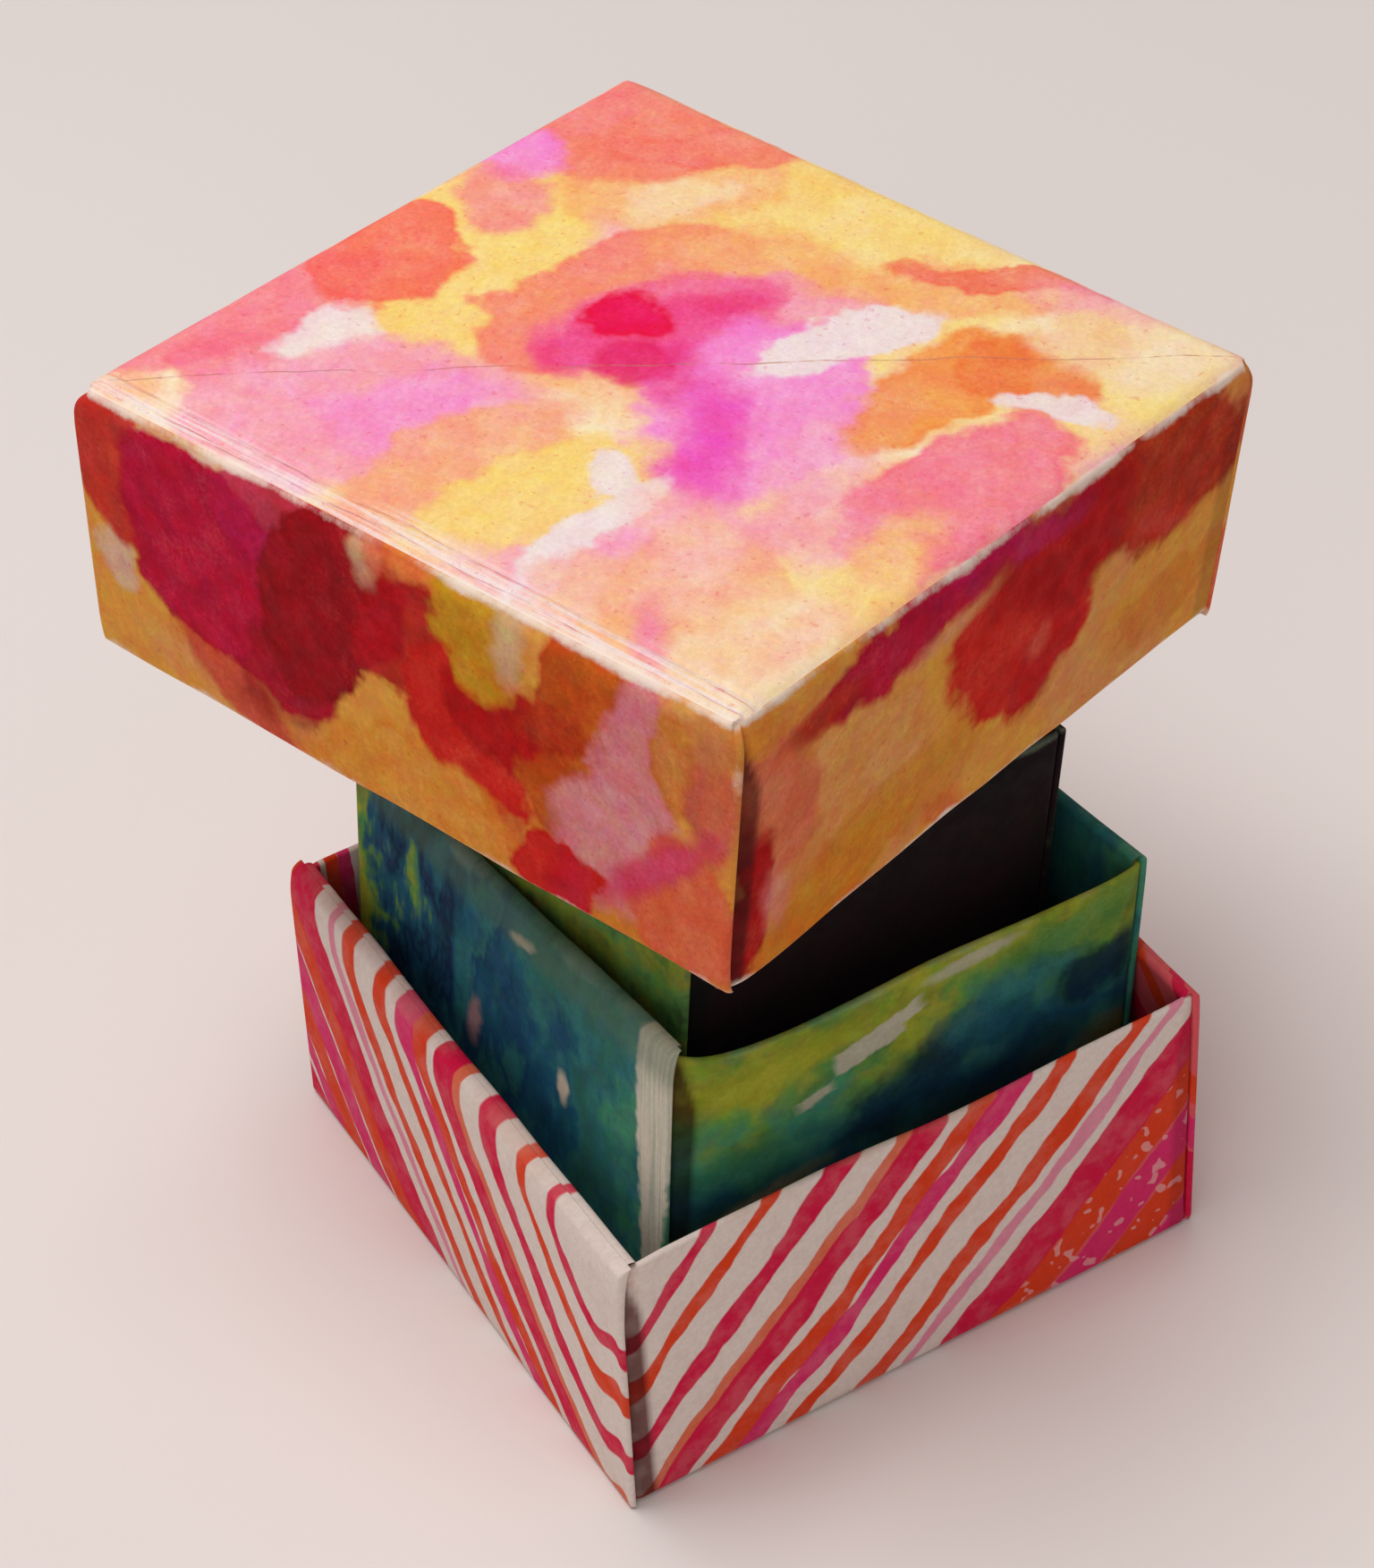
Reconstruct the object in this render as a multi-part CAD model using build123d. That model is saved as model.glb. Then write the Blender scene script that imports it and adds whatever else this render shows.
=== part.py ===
from build123d import *
from math import atan, atan2, cos, degrees, radians, sin, sqrt
import os

# Nest of boxes, each folded from one square sheet. The front-left and back-right walls of a box are
# its B walls: they close over the tucked ends of the A walls and wrap over the rim.
# Local frame of one box: origin under the middle of its closed face, walls up along +Z, B walls facing X.

# Paper
paper = 0.3                    # one layer of painted paper
edge_step = 0.35               # how far a B wall's folded edge stands past the A wall beside it
seam_gap = 0.3                 # between neighbouring tips on the floor
rest_gap = 0.08                # between a box and what it rests on
lid_clearance = 0.35           # each side, between the lid's opening and the box it covers
rim_drop = 0.5                 # how far the covered box's floor shows below the lid's rim
corner_fold = 0.8              # outside radius of the A walls' upright folds

# Sizes read from the photograph
tray_side = 54.0
tray_height = 26.0
tray_flare = -0.5              # how far each wall leans out at the rim
green_slack = 6.6              # how much narrower the green box is than the tray's inside
green_height = 31.9
inner_slack = 6.1              # how much narrower the inner box is than the green box's inside
inner_height = 41.0
lid_side = 62.6
lid_height = 24.0
lid_flare = -0.73
loose_spring = 0.05            # slope of floor tips with nothing on them

# How the boxes stand: lean of the up direction, turn, and place in plan
green_lean = (0.105, 0.0555)
green_turn = 2.9
green_place = (-0.66, -0.24)
stack_lean = (0.0863, -0.0117)
inner_turn = 6.1
inner_shift = -1.18            # in the green box, along its A walls; its back edge meets the green box
lid_turn = 19.2
lid_place = (0.34, 9.1)        # on the inner box

# Layers
a_wall = 2 * paper             # outer panel and the layer turned in behind it
b_skin = 2 * paper             # outer panel and its folded-back edge
b_wall = 4 * paper             # skin, tucked A end and the layer turned in
rim = b_wall / 2               # radius of a B wall's wrapped rim
rim_curve = 0.8 * a_wall       # radius of an A wall's rounded rim
sink = 0.05                    # overlap of joined layers
overcut = 1                    # how far a cutting shape reaches past what it cuts


def a_room(side):
    """Distance from the middle of a box to the inside of its A walls."""
    return side / 2 - edge_step - a_wall


def b_room(side):
    """Distance from the middle of a box to the inside of its B walls."""
    return side / 2 - b_wall


def rim_cutter(middle, top, side):
    """What is cut away above a wall's rim to leave it rounded over."""
    above = Pos(middle, top) * Rectangle(2 * a_wall, a_wall)
    kept = Pos(middle, top - rim_curve) * Circle(rim_curve)
    return extrude(Plane.YZ * (above - kept), side, both=True)


def between(reach, flare, height, side, fold):
    """Everything between two planes that lean with the A walls, with both folds at the floor rounded."""
    ends = Polyline((-reach, 0), (reach, 0), (reach + flare, height), (-reach - flare, height), close=True)
    outline = make_face(ends)
    outline = fillet(outline.vertices().sort_by(Axis.Y)[:2], fold)
    return extrude(Plane.YZ * outline, side, both=True)


def a_tube(side, height, flare):
    """A walls with their ends turned round the corners and the base sheet below them."""
    long = side - 2 * b_skin + 2 * sink
    wide = side - 2 * edge_step
    top = height - paper
    taper = -degrees(atan2(flare, height))
    tube = extrude(RectangleRounded(long, wide, corner_fold), height, taper=taper)
    tube = tube & between(wide / 2, flare, height, side, paper)
    hollow = Rectangle(long - 2 * paper, 2 * a_room(side))
    tube = tube - extrude(Plane.XY.offset(paper) * hollow, height, taper=taper)
    round_off = rim_cutter(wide / 2 + flare - a_wall / 2, top, side)
    tube = tube - [round_off, Rot(0, 0, 180) * round_off]
    return tube + extrude(Rectangle(side - b_skin, wide - 2 * corner_fold), paper)


def b_wrap(side, height, flare):
    """One B wall facing +X: doubled skin, rounded rim and the layer turned down inside."""
    half = side / 2
    top = height - rim
    turn = 0.7071              # sine of 45 degrees, for the middle of a quarter round
    skin_line = [
        Line((half - b_skin, 0), (half - paper, 0)),
        ThreePointArc((half - paper, 0), (half - paper * (1 - turn), paper * (1 - turn)), (half, paper)),
        Line((half, paper), (half, top)),
        ThreePointArc((half, top), (half - rim * (1 - turn), top + rim * turn), (half - rim, height)),
        Line((half - rim, height), (half - b_skin, 0)),
    ]
    leg = half - b_wall
    turned_line = [
        ThreePointArc((half - rim, height), (leg + rim * (1 - turn), top + rim * turn), (leg, top)),
        Polyline((leg, top), (leg, paper / 2), (leg + paper + sink, paper / 2), (leg + paper + sink, top - paper),
                 (half - rim, top - paper), (half - rim, height)),
    ]
    reach = half - b_skin / 2
    edge_line = Plane((reach, reach, 0), z_dir=(0, flare, height))
    folded_edge = extrude(edge_line * Circle(b_skin / 2), 2 * height, both=True)
    skin = between(reach, flare, height, side, paper) + [folded_edge, mirror(folded_edge, Plane.XZ)]
    skin = extrude(Plane.XZ * make_face(skin_line), side, both=True) & skin
    turned = extrude(Plane.XZ * make_face(turned_line), side, both=True)
    turned = turned & between(a_room(side) + sink, flare, height + overcut, side, paper)
    return (skin + turned).rotate(Axis((half, 0, 0), (0, 1, 0)), degrees(atan2(flare, height)))


def tip(depth, width, spring):
    """A floor tip facing +X: its root at the wall, its point at the middle of the floor."""
    w = width - seam_gap
    outline = Polyline((depth + a_wall / 2, -w), (depth + a_wall / 2, w), (depth, w),
                       (seam_gap * depth / width, 0), (depth, -w), close=True)
    plate = extrude(Plane.XY.offset(paper) * make_face(outline), paper)
    return plate.rotate(Axis((depth, 0, paper), (0, 1, 0)), degrees(atan(spring)))


def masu(side, height, flare, spring):
    """A box folded from one square: walls, wrapped rims and four tips that meet on its floor."""
    b, a = b_room(side), a_room(side)
    wrap = b_wrap(side, height, flare)
    b_tip = tip(b, a, spring)
    a_tip = tip(a, b, spring)
    box = a_tube(side, height, flare) + [wrap, Rot(0, 0, 180) * wrap]
    box = box + [b_tip, Rot(0, 0, 180) * b_tip, Rot(0, 0, 90) * a_tip, Rot(0, 0, -90) * a_tip]
    return split(box, bisect_by=Plane.XY, keep=Keep.TOP)


def leaning(origin, lean, turn):
    """A plane whose up direction leans and whose sides are turned about it."""
    up = Vector(lean[0], lean[1], sqrt(1 - lean[0] ** 2 - lean[1] ** 2))
    along = Vector(cos(radians(turn)), sin(radians(turn)), 0)
    along = along - up * along.dot(up)
    return Plane(origin, x_dir=along.normalized(), z_dir=up)


def rest_in(host, host_side, place, lean, turn):
    """Stands a box on its host's sprung tips, low along the diagonal seam that it leans towards.

    Returns the box's plane and the slope that the host's tips must have.
    """
    box = leaning((0, 0, 0), lean, turn)
    normal = host.to_local_coords(host.origin + box.z_dir)
    slope = (-normal.X / normal.Z, -normal.Y / normal.Z)
    spring = abs(slope[0]) + abs(slope[1])
    height = 2 * paper + rest_gap + spring * a_room(host_side) + slope[0] * place[0] + slope[1] * place[1]
    box.origin = host.from_local_coords(Vector(place[0], place[1], height))
    return box, spring


green_side = 2 * b_room(tray_side) - green_slack
inner_side = 2 * b_room(green_side) - inner_slack

tray_plane = Plane.XY
green_plane, tray_spring = rest_in(tray_plane, tray_side, green_place, green_lean, green_turn)
swing = radians(inner_turn - green_turn)
inner_back = a_room(green_side) - inner_side / 2 * (cos(swing) + sin(abs(swing))) - 2 * rest_gap
inner_place = (inner_shift, inner_back)
inner_plane, green_spring = rest_in(green_plane, green_side, inner_place, stack_lean, inner_turn)

# The covered box stands on the inner box's rim, and the lid on the covered box's rim
base_side = lid_side + 2 * lid_flare - 2 * b_wall - 2 * lid_clearance
base_height = lid_height - 2 * paper - rest_gap + rim_drop
base_origin = inner_plane.from_local_coords(Vector(lid_place[0], lid_place[1], inner_height + rest_gap))
base_plane = leaning(base_origin, stack_lean, lid_turn)
lid_origin = base_plane.from_local_coords(Vector(0, 0, rim_drop + lid_height))
lid_plane = Plane(lid_origin, x_dir=base_plane.x_dir, z_dir=-base_plane.z_dir)

boxes = {
    "striped_tray": (masu(tray_side, tray_height, tray_flare, tray_spring), tray_plane),
    "green_box": (masu(green_side, green_height, 0, green_spring), green_plane),
    "inner_box": (masu(inner_side, inner_height, 0, loose_spring), inner_plane),
    "orange_base": (masu(base_side, base_height, 0, loose_spring), base_plane),
    "orange_lid": (masu(lid_side, lid_height, lid_flare, 0), lid_plane),
}
os.makedirs("parts", exist_ok=True)
for name, (box, plane) in boxes.items():
    solid = box.solids()[0]
    solid.label = name
    export_step(plane.location * solid, "parts/" + name + ".step")
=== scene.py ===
import math

import bpy
import numpy as np
from mathutils import Euler, Matrix, Vector, noise


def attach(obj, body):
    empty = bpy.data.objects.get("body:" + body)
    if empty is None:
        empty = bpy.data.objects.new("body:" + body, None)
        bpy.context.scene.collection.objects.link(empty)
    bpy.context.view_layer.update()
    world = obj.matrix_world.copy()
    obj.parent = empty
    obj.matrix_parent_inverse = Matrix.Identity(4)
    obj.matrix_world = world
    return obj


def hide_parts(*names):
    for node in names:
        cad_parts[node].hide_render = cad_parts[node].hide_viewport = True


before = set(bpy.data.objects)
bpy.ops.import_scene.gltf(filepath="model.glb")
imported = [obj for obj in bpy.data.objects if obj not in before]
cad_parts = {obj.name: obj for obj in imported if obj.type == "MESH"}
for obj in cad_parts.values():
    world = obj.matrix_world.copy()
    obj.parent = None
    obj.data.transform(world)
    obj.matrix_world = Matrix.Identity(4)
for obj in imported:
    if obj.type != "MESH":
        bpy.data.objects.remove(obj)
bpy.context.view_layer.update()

# Lengths below are millimetres in one box's own frame: floor at z = 0, walls up, B walls facing X.
PAPER = 0.3            # one layer of painted paper
EDGE = 0.35            # how far a B wall's folded edge stands past the A wall beside it
SEAM = 0.3             # between neighbouring tips on the floor
REST = 0.08            # between a box and what it rests on
A_WALL = 2 * PAPER
B_SKIN = 2 * PAPER
B_WALL = 4 * PAPER
CORNER = 0.8           # outside radius of the A walls' upright folds


def leaning(lean, turn):
    """Columns are the box's own axes when its up direction leans and its sides are turned about it."""
    up = Vector((lean[0], lean[1], math.sqrt(1 - lean[0] ** 2 - lean[1] ** 2)))
    along = Vector((math.cos(math.radians(turn)), math.sin(math.radians(turn)), 0))
    along = (along - up * along.dot(up)).normalized()
    return Matrix((along, up.cross(along), up)).transposed()


def rest_in(host, host_at, host_side, place, lean, turn):
    """Axes and place of a box on its host's sprung tips, and the slope that those tips then have."""
    box = leaning(lean, turn)
    n = host.transposed() @ box.col[2]
    sx, sy = -n.x / n.z, -n.y / n.z
    spring = abs(sx) + abs(sy)
    z = 2 * PAPER + REST + spring * (host_side / 2 - EDGE - A_WALL) + sx * place[0] + sy * place[1]
    return box, host_at + host @ Vector((place[0], place[1], z)), spring


# Sizes of the boxes
TRAY_SIDE, TRAY_HEIGHT, TRAY_FLARE = 54.0, 26.0, -0.5
GREEN_SIDE, GREEN_HEIGHT = 45.0, 31.9
INNER_SIDE, INNER_HEIGHT = 36.5, 41.0
LID_SIDE, LID_HEIGHT, LID_FLARE = 62.6, 24.0, -0.73
LID_CLEARANCE = 0.35
RIM_DROP = 0.5
LOOSE_SPRING = 0.05

# How they stand: lean of the up direction, turn in degrees, and place on the box below
GREEN_LEAN, GREEN_TURN, GREEN_PLACE = (0.105, 0.0555), 2.9, (-0.66, -0.24)
STACK_LEAN, INNER_TURN, INNER_SHIFT = (0.0863, -0.0117), 6.1, -1.18
LID_TURN, LID_PLACE = 19.2, (0.34, 9.1)

GROUND = Vector((0, 0, 0))
UPRIGHT = Matrix.Identity(3)
GREEN, GREEN_AT, TRAY_SPRING = rest_in(UPRIGHT, GROUND, TRAY_SIDE, GREEN_PLACE, GREEN_LEAN, GREEN_TURN)
swing = math.radians(INNER_TURN - GREEN_TURN)
inner_reach = INNER_SIDE / 2 * (math.cos(swing) + math.sin(swing))
inner_place = (INNER_SHIFT, GREEN_SIDE / 2 - EDGE - A_WALL - inner_reach - 2 * REST)
INNER, INNER_AT, GREEN_SPRING = rest_in(GREEN, GREEN_AT, GREEN_SIDE, inner_place, STACK_LEAN, INNER_TURN)
BASE_SIDE = LID_SIDE + 2 * LID_FLARE - 2 * B_WALL - 2 * LID_CLEARANCE
BASE_HEIGHT = LID_HEIGHT - 2 * PAPER - REST + RIM_DROP
BASE = leaning(STACK_LEAN, LID_TURN)
BASE_AT = INNER_AT + INNER @ Vector((*LID_PLACE, INNER_HEIGHT + REST))
LID_AT = BASE_AT + BASE @ Vector((0, 0, RIM_DROP + LID_HEIGHT))
LID = Matrix((BASE.col[0], -BASE.col[1], -BASE.col[2])).transposed()


def ticks(lo, hi, step=1.0, fine=0.3, reach=2.4):
    """Positions from lo to hi, closer together near both ends."""
    if hi - lo < 3 * reach:
        return np.linspace(lo, hi, max(2, int((hi - lo) / fine / 2) + 1))
    ends = np.linspace(0, reach, int(reach / fine) + 1)
    middle = np.linspace(lo + reach, hi - reach, int((hi - lo - 2 * reach) / step) + 1)
    return np.concatenate([lo + ends[:-1], middle, hi - ends[::-1][1:]])


def near(d, width):
    """1 where the distance is zero, dying away over the width."""
    return np.exp(-((d / width) ** 2))


# What a point of a folded sheet belongs to
FLOOR, A_PART, B_PART = 0, 1, 2


class Folded:
    """Collects the faces of one folded sheet, with each point's place on the flat sheet.

    worn is how far from the closed face's edges the wear reaches. The painted shade in the slit beside a B
    wall's folded edge starts slit_from below the closed face, or at the rim where that is 0, and widens by
    slit_width.
    """

    def __init__(self, side, height, flare, spring, worn, slit_from, slit_width):
        self.height, self.flare, self.spring = height, flare, spring
        self.worn, self.slit_from, self.slit_width = worn, slit_from, slit_width
        self.half = side / 2
        self.a_room = self.half - EDGE - A_WALL
        self.b_room = self.half - B_WALL
        self.points, self.flat, self.part, self.faces = [], [], [], []
        self.fold, self.bare, self.slit_shade = [], [], []
        self.count = 0

    def grid(self, part, x, y, z, s, t, fold, quarter=0, bare=0.0, flip=False, slit_shade=0.0):
        """Adds a grid of points, turned by quarters of a circle about the box, and the faces between them."""
        x, y, z, s, t, fold, slit_shade = np.broadcast_arrays(x, y, z, s, t, fold, slit_shade)
        c, n = round(math.cos(quarter * math.pi / 2)), round(math.sin(quarter * math.pi / 2))
        rows, cols = x.shape
        self.points.append(np.stack([x * c - y * n, x * n + y * c, z], -1).reshape(-1, 3))
        self.flat.append(np.stack([s * c - t * n, s * n + t * c], -1).reshape(-1, 2))
        self.fold.append(np.clip(fold, 0, 1).reshape(-1))
        self.bare.append(np.full(rows * cols, bare))
        self.slit_shade.append(slit_shade.reshape(-1))
        self.part.append(np.full(rows * cols, part))
        i = self.count + np.arange(rows * cols).reshape(rows, cols)
        quads = np.stack([i[:-1, :-1], i[1:, :-1], i[1:, 1:], i[:-1, 1:]], -1).reshape(-1, 4)
        self.faces.append(quads[:, ::-1] if flip else quads)
        self.count += rows * cols

    def tip(self, depth, width, quarter):
        """A triangular floor tip with its two cut edges."""
        d = ticks(0, depth - 0.2, 0.9)[:, None]
        w = np.linspace(-1, 1, 33)[None, :]
        reach = (width - SEAM) * (1 - d / depth)
        x, y, z = w * reach, -(depth - d), 2 * PAPER + self.spring * d
        t = -(self.half + 2 * self.height + d)
        edge = near((1 - np.abs(w)) * reach, 0.5) + near(d, 0.8)
        self.grid(FLOOR, x, y, z, x, t, edge, quarter)
        down = np.array([0.0, PAPER])[None, :]
        for sign in (-1, 1):
            self.grid(FLOOR, sign * reach, y, z - down, sign * reach, t, 0.6, quarter, 0.6, sign > 0)

    def a_wall(self, quarter):
        """Outer panel with its ends turned round the corners, rim, inner layer and tip, facing -Y."""
        half, top, r = self.half, self.height - PAPER, A_WALL / 2
        x1, y0 = half - B_SKIN + 0.05, -(half - EDGE)
        turn = np.linspace(0, math.pi / 2, 9)[1:-1]
        wall = ticks(-x1 + CORNER, x1 - CORNER, 0.9)
        hid = np.linspace(1.5, 0, 4)
        left = [(-x1, y0 + CORNER + h, -1, 0, -x1 - 0.57 * CORNER - h) for h in hid]
        turned = [(math.cos(a), math.sin(a), CORNER * a) for a in turn]
        arc = [
            (-x1 + CORNER - CORNER * c, y0 + CORNER - CORNER * n, -c, -n, -x1 + CORNER - 1.57 * CORNER + run)
            for c, n, run in turned
        ]
        mid = [(x, y0, 0, -1, x) for x in wall]
        start = left + arc
        path = start + mid + [(-x, y, -nx, ny, -s) for x, y, nx, ny, s in reversed(start)]
        px, py, nx, ny, s = np.array(path).T[:, None, :]
        low = np.linspace(-math.pi / 2, 0, 5)[:-1]
        over = np.linspace(0, math.pi, 11)
        rise = ticks(PAPER, top - r, 0.9)
        start_off, start_z = PAPER * (1 - np.cos(low)), PAPER * (1 + np.sin(low))
        over_z, over_run = top - r + r * np.sin(over), top - r + r * over
        off = np.concatenate([start_off, 0 * rise[:-1], r * (1 - np.cos(over)), [2 * r, 2 * r]])[:, None]
        z = np.concatenate([start_z, rise[:-1], over_z, [top - r - 0.4, top - r - 1.2]])[:, None]
        run = np.concatenate([start_z, rise[:-1], over_run, [top + 0.9, top + 1.7]])[:, None]
        out = self.flare * z / self.height - off
        side_fold = 0.2 * near(np.maximum(half - np.abs(s), 0), 0.9)
        fold = np.maximum(np.maximum(side_fold, 0.8 * near(run - top, 0.7)), near(z + off, self.worn))
        # painted shade along the slit beside each B wall's folded edge, stronger at one end of the wall
        deep_side = np.where((px < 0) == (quarter == 0), 1.0, 0.35)
        opened = z - self.slit_from if self.slit_from > 0 else top - z
        reach = 1.0 + self.slit_width * ease(opened, 0, 6)
        slit_shade = deep_side * near(np.maximum(half - reach - np.abs(s), 0), 0.4) * ease(opened, -0.6, 1.4)
        self.grid(A_PART, px + nx * out, py + ny * out, z, s, -(half + run), fold, quarter, slit_shade=slit_shade)
        w = ticks(-1, 1, 0.03, 0.012, 0.06)[None, :]
        z = ticks(2 * PAPER, top - r - 0.2, 0.9)[:, None]
        lean = self.flare * z / self.height
        x = w * (self.b_room + 0.02 + lean)
        fold = near(z - 2 * PAPER, 0.7)
        self.grid(A_PART, x, y0 + A_WALL - lean, z, x, -(half + 2 * self.height - z), fold, quarter, 0, True)
        self.tip(self.a_room, self.b_room, quarter)

    def b_wall(self, quarter):
        """Doubled skin with folded edges, wrapped rim, turned layer and tip, facing -Y until it is turned."""
        half, r = self.half, B_WALL / 2
        top = self.height - r
        low = np.linspace(-math.pi / 2, 0, 5)[:-1]
        over = np.linspace(0, math.pi / 2, 9)
        rise = ticks(PAPER, top, 0.9)
        off = np.concatenate([PAPER * (1 - np.cos(low)), 0 * rise[:-1], r * (1 - np.cos(over))])[:, None]
        z = np.concatenate([PAPER * (1 + np.sin(low)), rise[:-1], top + r * np.sin(over)])[:, None]
        run = np.concatenate([PAPER * (1 + np.sin(low)), rise[:-1], top + r * over])[:, None]
        thick = np.maximum(B_SKIN - off, 0.01)
        lean = self.flare * z / self.height
        reach = half + lean
        back = -half + B_SKIN - lean
        hid = np.linspace(1.5, 0, 5)[None, :-1]
        a = np.linspace(math.pi / 2, 1.5 * math.pi, 11)[None, :]
        w = ticks(-1, 1, 0.032, 0.01, 0.07)[None, 1:-1]
        arc_x = -reach + thick / 2 + np.cos(a) * thick / 2
        arc_y = back - thick / 2 + np.sin(a) * thick / 2
        flat_x = -half - 0.1 + 0 * thick + (a - 1.5 * math.pi) * 0.3
        inset, hid_far = reach - thick / 2, hid[:, ::-1]
        x = np.hstack([-inset + hid, arc_x, w * inset, -arc_x[:, ::-1], inset - hid_far])
        y = np.hstack([back + 0 * hid, arc_y, back - thick + 0 * w, arc_y[:, ::-1], back + 0 * hid])
        hid_s = half + 0.9 + 0 * thick
        s = np.hstack([-hid_s - hid, flat_x, w * half + 0 * thick, -flat_x[:, ::-1], hid_s + hid_far])
        side_fold = 0.35 * near(np.maximum(half - np.abs(s), 0), 0.5)
        fold = np.maximum(np.maximum(side_fold, 0.8 * near(run - self.height, 1.1)), near(z + off, self.worn))
        self.grid(B_PART, x, y, z, s, -(half + run), fold, quarter)
        over = np.linspace(math.pi / 2, math.pi, 9)
        fall = ticks(2 * PAPER, top, 0.9)[::-1]
        off = np.concatenate([r * (1 - np.cos(over)), 0 * fall[1:] + 2 * r])[:, None]
        z = np.concatenate([top + r * np.sin(over), fall[1:]])[:, None]
        run = np.concatenate([top + r * over, top + r * math.pi + top - fall[1:]])[:, None]
        lean = self.flare * z / self.height
        w = ticks(-1, 1, 0.032, 0.012, 0.06)[None, :]
        x = w * (self.a_room + 0.03 + 0.35 * near(self.height - z, 0.4) + lean)
        fold = np.maximum(near(run - self.height, 1.1), near(z - 2 * PAPER, 0.7))
        self.grid(B_PART, x, -half + off - lean, z, x, -(half + run), fold, quarter)
        self.tip(self.b_room, self.a_room, quarter)

    def floor(self):
        """The closed face and its bare inside."""
        x = ticks(-self.half + PAPER, self.half - PAPER, 0.9, 0.15, 3.6)[None, :]
        y = ticks(-self.half + EDGE + PAPER, self.half - EDGE - PAPER, 0.9, 0.15, 3.6)[:, None]
        worn = 1.1 * self.worn
        fold = np.maximum(near(self.half - np.abs(x), worn), near(self.half - np.abs(y), worn))
        self.grid(FLOOR, x, y, 0 * x * y, x, y, fold, 0, 0, True)
        x = np.linspace(-self.half + 1, self.half - 1, 24)[None, :]
        self.grid(FLOOR, x, x.T, PAPER + 0 * x * x.T, x, x.T, 0, 0, 1.0)

    def build(self, name, axes, at, shape, papers, mirrored=False):
        """Folds the walls, shapes them by the given function and makes the Blender object."""
        self.a_wall(0)
        self.a_wall(2)
        self.b_wall(-1)
        self.b_wall(1)
        self.floor()
        p, flat = np.concatenate(self.points), np.concatenate(self.flat)
        p = p + shape(p, np.concatenate(self.part), self)
        m = np.array([list(r) for r in axes])
        co = (p @ m.T + np.array(at)) * 0.001
        if mirrored:
            flat = flat * [1, -1]
        faces = np.concatenate(self.faces)
        me = bpy.data.meshes.new(name)
        me.from_pydata(co.tolist(), [], faces.tolist())
        me.update()
        loops = np.zeros(len(me.loops), np.int32)
        me.loops.foreach_get("vertex_index", loops)
        for layer, places in (("sheet", flat), ("bands", stripe_place(flat, self.half))):
            uv = (places[loops] * 0.01).astype(np.float32).ravel()
            me.uv_layers.new(name=layer).data.foreach_set("uv", uv)
        # the last attribute carries the painted shade along the slits
        for key, values in (("fold", self.fold), ("bare", self.bare), ("slit_shade", self.slit_shade)):
            values = np.concatenate(values).astype(np.float32)
            me.attributes.new(key, "FLOAT", "POINT").data.foreach_set("value", values)
        s, t = np.abs(flat[faces].mean(1)).T
        place = np.where(np.maximum(s, t) < self.half, 0, np.where(t > s, 1, 2))
        for paper in papers:
            me.materials.append(paper)
        me.polygons.foreach_set("material_index", np.minimum(place, len(papers) - 1).astype(np.int32))
        me.polygons.foreach_set("use_smooth", np.ones(len(me.polygons), bool))
        me.set_sharp_from_angle(angle=math.radians(38))
        ob = bpy.data.objects.new(name, me)
        bpy.context.scene.collection.objects.link(ob)
        return ob


def stripe_place(flat, half):
    """Across and along the stripes, which run with the sheet's edge and level out round the front corner."""
    s, t = flat.T
    on_b = s < -half
    rise = np.maximum(-t - half, -s - half)
    top = half - 5.0
    upright = np.where(rise > top, top + 1.4 * (1 - np.exp(-np.maximum(rise - top, 0) / 1.4)), rise)
    d = np.where(on_b, t + half, s + half)
    on_a_wall = d * (1 - 1.5 * near(d, 2.8)) - rise
    on_b_wall = 1.15 * d - 5.0 * (1 - near(np.maximum(d, 0), 2.6)) - upright
    across = np.where(on_b, on_b_wall, on_a_wall)
    return np.stack([across, np.abs(s - t)], -1)


def waves(p, scale, seed):
    """Smooth random values at the points, one per point."""
    return np.array([noise.noise(Vector(q) / scale + Vector((seed, 0, 0))) for q in p])


def ease(v, lo, hi):
    """Rises smoothly from 0 at lo to 1 at hi."""
    u = np.clip((v - lo) / (hi - lo), 0, 1)
    return u * u * (3 - 2 * u)


def soft_walls(p, part, f, bulge, rim, dip, puff, shoulder, seed):
    """Walls that bulge, rims that wander, A walls that fall back beside the corners, soft rounded B rims."""
    x, y, z = p.T
    h = np.clip(z / f.height, 0, 1)
    a, b = part == A_PART, part == B_PART
    free = ease(z, 0, 2.5)
    lift = free * np.sin(np.pi * np.clip(h * 0.85 + 0.1, 0, 1))
    ripple = free * waves(p * [1, 1, 0.6], 7.0, seed + 9) * 0.14
    d = np.zeros_like(p)
    # walls bulge between their corners, and an A wall falls back beside the slit
    middle_a, middle_b = 1 - (x / f.half) ** 2, 1 - (y / f.half) ** 2
    slit = near(f.half - np.abs(x), 1.9) * np.where(x < 0, 1, 0.2)
    d[:, 1] = np.sign(y) * a * (middle_a * (lift * bulge + ripple) - dip * slit * free)
    d[:, 0] = np.sign(x) * b * middle_b * (lift * bulge + ripple)
    # a B wall's rim is puffed up and leans in
    deep = np.clip(f.half + f.flare * h - np.abs(x), 0, B_WALL)
    inward = deep * puff * ease(z, f.height - 7, f.height - 0.5)
    inward = inward + shoulder * np.clip(1 - (f.height - z) / 3.2, 0, 1) ** 2
    d[:, 0] -= np.sign(x) * b * inward * np.where(x < 0, 1, 0.2)
    d[:, 1] -= np.sign(y) * b * (x > 0) * 0.45 * ease(np.abs(y), f.half - 1.0, f.half)
    d[:, 2] = rim * waves(p * [1, 1, 0.15], 11.0, seed) * h ** 4 * (a | b)
    return d


def corner_bow(x, f, reach):
    """A wave along an A wall that rises quickly from the front corner and dies away."""
    s = np.maximum(x + f.half, 0) / reach
    return s * np.exp(1 - s)


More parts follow.
